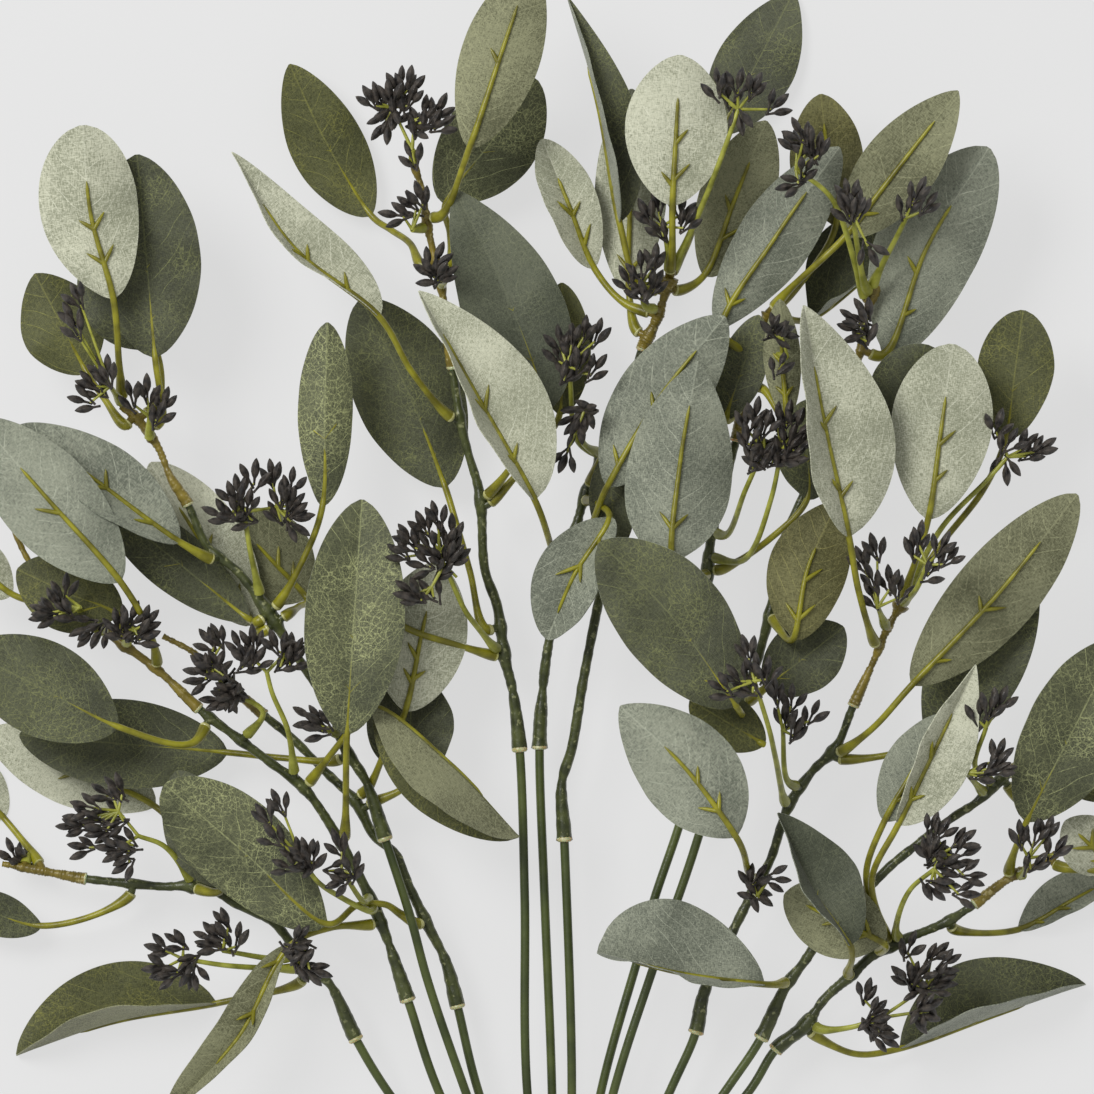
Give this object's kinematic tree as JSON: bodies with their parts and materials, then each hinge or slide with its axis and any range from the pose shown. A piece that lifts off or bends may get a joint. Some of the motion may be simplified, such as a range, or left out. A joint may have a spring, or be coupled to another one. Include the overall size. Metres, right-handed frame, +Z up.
{
  "type": "artificial eucalyptus bunch",
  "caption": "Lying bunch of artificial seeded eucalyptus: wire rods plugged into moulded branches, with fabric leaves and heads of seed buds, tied near the cut ends.",
  "frame": {"origin": "middle of the bunch's footprint on the surface that it lies on", "axes": "+Z up from the surface; +Y along the bunch from the cut ends to the leaf tips"},
  "size_m": [0.4824, 0.7232, 0.093],
  "materials": {
    "rod": "satin dark green plastic coat over wire",
    "branch": "satin moulded green plastic",
    "leaf": "printed woven leaf fabric",
    "petiole": "satin olive yellow plastic",
    "seed": "matt brown-black plastic",
    "twine": "natural jute twine"
  },
  "bodies": {
    "root": {"rod_01": "rod", "rod_02": "rod", "rod_03": "rod", "rod_04": "rod", "rod_05": "rod", "rod_06": "rod", "rod_07": "rod", "rod_08": "rod", "rod_09": "rod", "rod_10": "rod", "rod_11": "rod", "rod_12": "rod", "branch_01": "branch", "branch_02": "branch", "branch_03": "branch", "branch_04": "branch", "branch_05": "branch", "branch_06": "branch", "branch_07": "branch", "branch_08": "branch", "branch_09": "branch", "branch_10": "branch", "branch_11": "branch", "branch_12": "branch", "sprig_01a": "leaf", "sprig_01b": "leaf", "sprig_01c": "leaf", "sprig_02a": "leaf", "sprig_02b": "leaf", "sprig_02c": "leaf", "sprig_02d": "leaf", "sprig_03a": "leaf", "sprig_03b": "leaf", "sprig_03c": "leaf", "sprig_04a": "leaf", "sprig_04b": "leaf", "sprig_05a": "leaf", "sprig_05b": "leaf", "sprig_05c": "leaf", "sprig_05d": "leaf", "sprig_06a": "leaf", "sprig_06b": "leaf", "sprig_07a": "leaf", "sprig_07b": "leaf", "sprig_08a": "leaf", "sprig_08b": "leaf", "sprig_08c": "leaf", "sprig_09a": "leaf", "sprig_09b": "leaf", "sprig_09c": "leaf", "sprig_10a": "leaf", "sprig_10b": "leaf", "sprig_10c": "leaf", "sprig_11a": "leaf", "sprig_11b": "leaf", "sprig_12a": "leaf", "sprig_12b": "leaf", "sprig_12c": "leaf", "sprig_12d": "leaf", "tie": "twine"}
  },
  "joints": []
}
